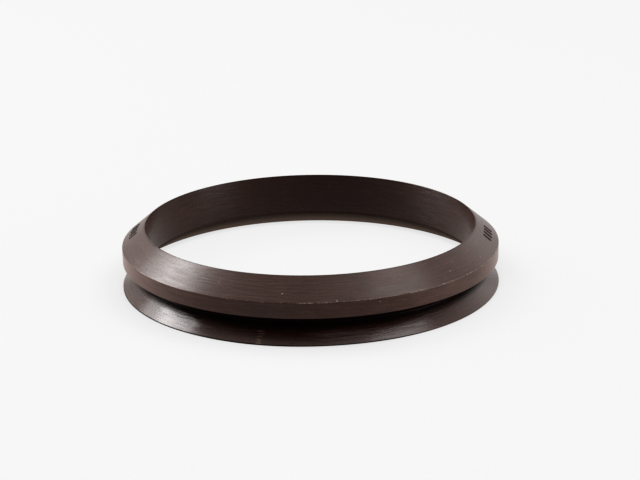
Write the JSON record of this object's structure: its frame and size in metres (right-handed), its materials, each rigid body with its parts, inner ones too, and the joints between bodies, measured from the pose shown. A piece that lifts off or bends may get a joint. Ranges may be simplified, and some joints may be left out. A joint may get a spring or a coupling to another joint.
{
  "type": "v-ring seal",
  "caption": "Moulded rubber V-ring seal with a conical back and a cylindrical band; it grips a shaft and wipes a flat face with a thin lip that flexes at a V groove.",
  "frame": {"origin": "centre of the circle that the sealing edge touches, on the ring's axis", "axes": "+Z along the ring's axis, from the sealing lip towards the conical back"},
  "size_m": [0.0974, 0.0974, 0.0155],
  "materials": {
    "brown_rubber": "satin, with fine turning lines around the ring"
  },
  "bodies": {
    "root": {"v_ring": "brown_rubber"}
  },
  "joints": []
}
